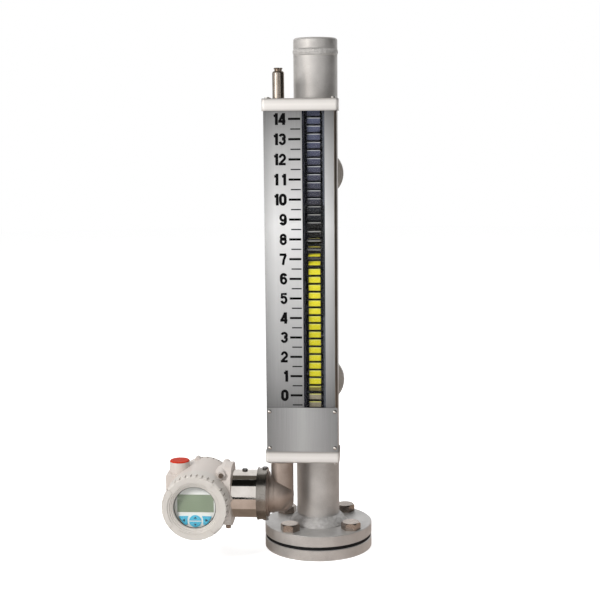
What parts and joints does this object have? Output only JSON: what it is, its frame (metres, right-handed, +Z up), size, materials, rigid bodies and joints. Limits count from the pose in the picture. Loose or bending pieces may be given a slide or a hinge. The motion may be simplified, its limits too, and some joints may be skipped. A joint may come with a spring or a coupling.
{
  "type": "magnetostrictive level transmitter on a magnetic level gauge",
  "caption": "Upright magnetic level gauge with a flag indicator and scale, and a magnetostrictive transmitter whose round display head sits on a side arm.",
  "frame": {"origin": "centre of the underside of the blind flange, on the axis of the chamber", "axes": "+Z up along the chamber, the scale and the display face -Y, the process connections face +Y and the transmitter arm runs along -X"},
  "size_m": [0.2833, 0.218, 0.7156],
  "materials": {
    "stainless": "bead-blasted stainless steel",
    "bolting": "turned stainless steel",
    "gasket": "matt black",
    "float_steel": "thin polished steel",
    "magnet": "sintered magnet",
    "header_aluminium": "anodised extrusion",
    "cap_aluminium": "satin cast",
    "cap_screws": "stainless screw",
    "scale": "satin sheet with printed marks",
    "clear_window": "clear strip",
    "flag_rail": "dark rail",
    "nameplate": "brushed plate, bare",
    "dome_screws": "polished screw",
    "probe_steel": "polished tube",
    "cast_steel": "satin casting",
    "ring_steel": "polished ring",
    "polished_steel": "mirror polished",
    "housing_paint": "light warm grey powder coat",
    "cover_glass": "clear",
    "display_plastic": "light grey face",
    "lcd": "grey-green screen, blank",
    "board": "green lacquer",
    "terminal_plastic": "black",
    "red_plug": "red",
    "plug_steel": "turned plug",
    "flag_dark": "dark slate face, bright yellow back",
    "flag_yellow": "bright yellow face, dark slate back"
  },
  "bodies": {
    "gauge": {"chamber_tube": "stainless", "chamber_cap": "stainless", "chamber_flange": "stainless", "flange_gasket": "gasket", "blind_flange": "stainless", "flange_bolts": "bolting", "drain_plug": "bolting", "lower_process_flange": "stainless", "upper_process_flange": "stainless", "header_saddles": "stainless", "float_stop": "float_steel", "header_body": "header_aluminium", "top_end_cap": "cap_aluminium", "bottom_end_cap": "cap_aluminium", "end_cap_screws": "cap_screws", "scale_plate": "scale", "flag_window": "clear_window", "flag_rail_lower": "flag_rail", "flag_rail_middle": "flag_rail", "flag_rail_upper": "flag_rail", "nameplate": "nameplate", "nameplate_screws": "dome_screws", "probe_tube": "probe_steel", "probe_plug": "probe_steel", "waveguide": "probe_steel", "elbow": "cast_steel", "clamp_ring": "ring_steel", "sensor_can": "polished_steel", "arm_screws": "bolting"},
    "float": {"float_shell": "float_steel", "float_magnets": "magnet"},
    "head": {"transmitter_housing": "housing_paint", "front_cover_seal": "gasket", "display_module": "display_plastic", "lcd_panel": "lcd", "electronics_board": "board", "terminal_block": "terminal_plastic", "terminal_screws": "bolting", "blanking_plug": "plug_steel", "cover_lock_screw": "bolting", "ground_screw": "bolting"},
    "front_glass": {"cover_glass": "cover_glass"},
    "front_cover": {"front_cover": "housing_paint"},
    "rear_gasket": {"rear_cover_seal": "gasket"},
    "rear_cover": {"rear_cover": "housing_paint"},
    "entry_plug": {"entry_plug": "red_plug"},
    "flag_13": {"flag_13": "flag_yellow"},
    "flag_14": {"flag_14": "flag_yellow"},
    "flag_15": {"flag_15": "flag_yellow"},
    "flag_16": {"flag_16": "flag_yellow"},
    "flag_17": {"flag_17": "flag_yellow"},
    "flag_18": {"flag_18": "flag_yellow"},
    "flag_19": {"flag_19": "flag_yellow"},
    "flag_20": {"flag_20": "flag_yellow"},
    "flag_21": {"flag_21": "flag_dark"},
    "flag_22": {"flag_22": "flag_dark"},
    "flag_23": {"flag_23": "flag_dark"},
    "flag_24": {"flag_24": "flag_dark"},
    "flag_25": {"flag_25": "flag_dark"},
    "flag_26": {"flag_26": "flag_dark"}
  },
  "joints": [
    {"name": "cover_front_travel", "type": "slide", "parent": "head", "child": "front_glass", "axis": [0, -1, 0], "range_m": [0, 0.01]},
    {"name": "cover_front_turn", "type": "hinge", "parent": "front_glass", "child": "front_cover", "pos_m": [-0.1615, -0.1, 0.0861], "axis": [0, -1, 0], "range_deg": [0, 1800]},
    {"name": "cover_rear_travel", "type": "slide", "parent": "head", "child": "rear_gasket", "axis": [0, 1, 0], "range_m": [0, 0.01]},
    {"name": "cover_rear_turn", "type": "hinge", "parent": "rear_gasket", "child": "rear_cover", "pos_m": [-0.1615, -0.008, 0.0861], "axis": [0, 1, 0], "range_deg": [0, 1800]},
    {"name": "entry_plug_pull", "type": "slide", "parent": "head", "child": "entry_plug", "axis": [0, 0, 1], "range_m": [0, 0.014]},
    {"name": "float_rise", "type": "slide", "parent": "gauge", "child": "float", "axis": [0, 0, 1], "range_m": [0, 0.469]},
    {"name": "head_turn", "type": "hinge", "parent": "gauge", "child": "head", "pos_m": [-0.11, -0.052, 0.0895], "axis": [1, 0, 0], "range_deg": [-175, 175]},
    {"name": "turn_flag_13", "type": "hinge", "parent": "gauge", "child": "flag_13", "pos_m": [0, -0.0565, 0.34628], "axis": [1, 0, 0], "range_deg": [-180, 0]},
    {"name": "turn_flag_14", "type": "hinge", "parent": "gauge", "child": "flag_14", "pos_m": [0, -0.0565, 0.357], "axis": [1, 0, 0], "range_deg": [-180, 0]},
    {"name": "turn_flag_15", "type": "hinge", "parent": "gauge", "child": "flag_15", "pos_m": [0, -0.0565, 0.36772], "axis": [1, 0, 0], "range_deg": [-180, 0]},
    {"name": "turn_flag_16", "type": "hinge", "parent": "gauge", "child": "flag_16", "pos_m": [0, -0.0565, 0.37844], "axis": [1, 0, 0], "range_deg": [-180, 0]},
    {"name": "turn_flag_17", "type": "hinge", "parent": "gauge", "child": "flag_17", "pos_m": [0, -0.0565, 0.38916], "axis": [1, 0, 0], "range_deg": [-180, 0]},
    {"name": "turn_flag_18", "type": "hinge", "parent": "gauge", "child": "flag_18", "pos_m": [0, -0.0565, 0.39988], "axis": [1, 0, 0], "range_deg": [-174, 6]},
    {"name": "turn_flag_19", "type": "hinge", "parent": "gauge", "child": "flag_19", "pos_m": [0, -0.0565, 0.4106], "axis": [1, 0, 0], "range_deg": [-126, 54]},
    {"name": "turn_flag_20", "type": "hinge", "parent": "gauge", "child": "flag_20", "pos_m": [0, -0.0565, 0.42132], "axis": [1, 0, 0], "range_deg": [-110, 70]},
    {"name": "turn_flag_21", "type": "hinge", "parent": "gauge", "child": "flag_21", "pos_m": [0, -0.0565, 0.43204], "axis": [1, 0, 0], "range_deg": [-78, 102]},
    {"name": "turn_flag_22", "type": "hinge", "parent": "gauge", "child": "flag_22", "pos_m": [0, -0.0565, 0.44276], "axis": [1, 0, 0], "range_deg": [-56, 124]},
    {"name": "turn_flag_23", "type": "hinge", "parent": "gauge", "child": "flag_23", "pos_m": [0, -0.0565, 0.45348], "axis": [1, 0, 0], "range_deg": [-24, 156]},
    {"name": "turn_flag_24", "type": "hinge", "parent": "gauge", "child": "flag_24", "pos_m": [0, -0.0565, 0.4642], "axis": [1, 0, 0], "range_deg": [0, 180]},
    {"name": "turn_flag_25", "type": "hinge", "parent": "gauge", "child": "flag_25", "pos_m": [0, -0.0565, 0.47492], "axis": [1, 0, 0], "range_deg": [0, 180]},
    {"name": "turn_flag_26", "type": "hinge", "parent": "gauge", "child": "flag_26", "pos_m": [0, -0.0565, 0.48564], "axis": [1, 0, 0], "range_deg": [0, 180]}
  ],
  "couplings": [
    {"joint": "cover_front_travel", "follows": "cover_front_turn", "m_per_rad": 0.0003183},
    {"joint": "cover_rear_travel", "follows": "cover_rear_turn", "m_per_rad": 0.0003183}
  ]
}
